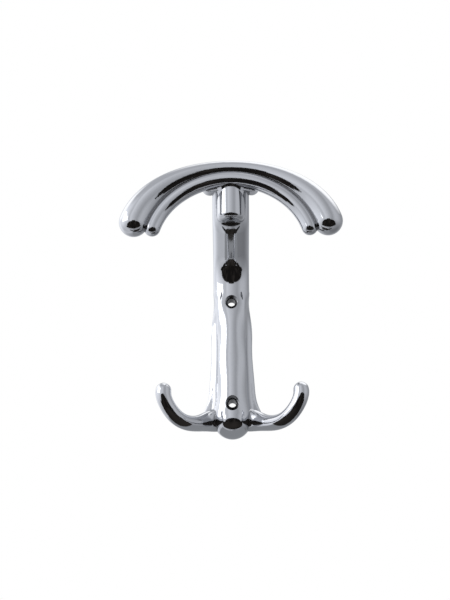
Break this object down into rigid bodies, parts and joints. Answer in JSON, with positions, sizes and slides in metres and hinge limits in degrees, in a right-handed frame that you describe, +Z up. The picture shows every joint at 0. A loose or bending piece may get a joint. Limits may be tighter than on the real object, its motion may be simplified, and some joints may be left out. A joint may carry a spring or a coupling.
{
  "type": "coat hook",
  "caption": "Chrome wall coat hook: a broad moulded hanger arch on a swan-neck arm, a ridged stem with countersunk screw holes and upturned side prongs.",
  "frame": {"origin": "midway between the two screw holes, on the wall plane", "axes": "+Z up, +X to the right seen from the front, +Y into the wall; the hook projects along -Y"},
  "size_m": [0.1144, 0.049, 0.1389],
  "materials": {
    "chrome_plate": "polished chrome plate over zinc"
  },
  "bodies": {
    "root": {"hook_casting": "chrome_plate"}
  },
  "joints": []
}
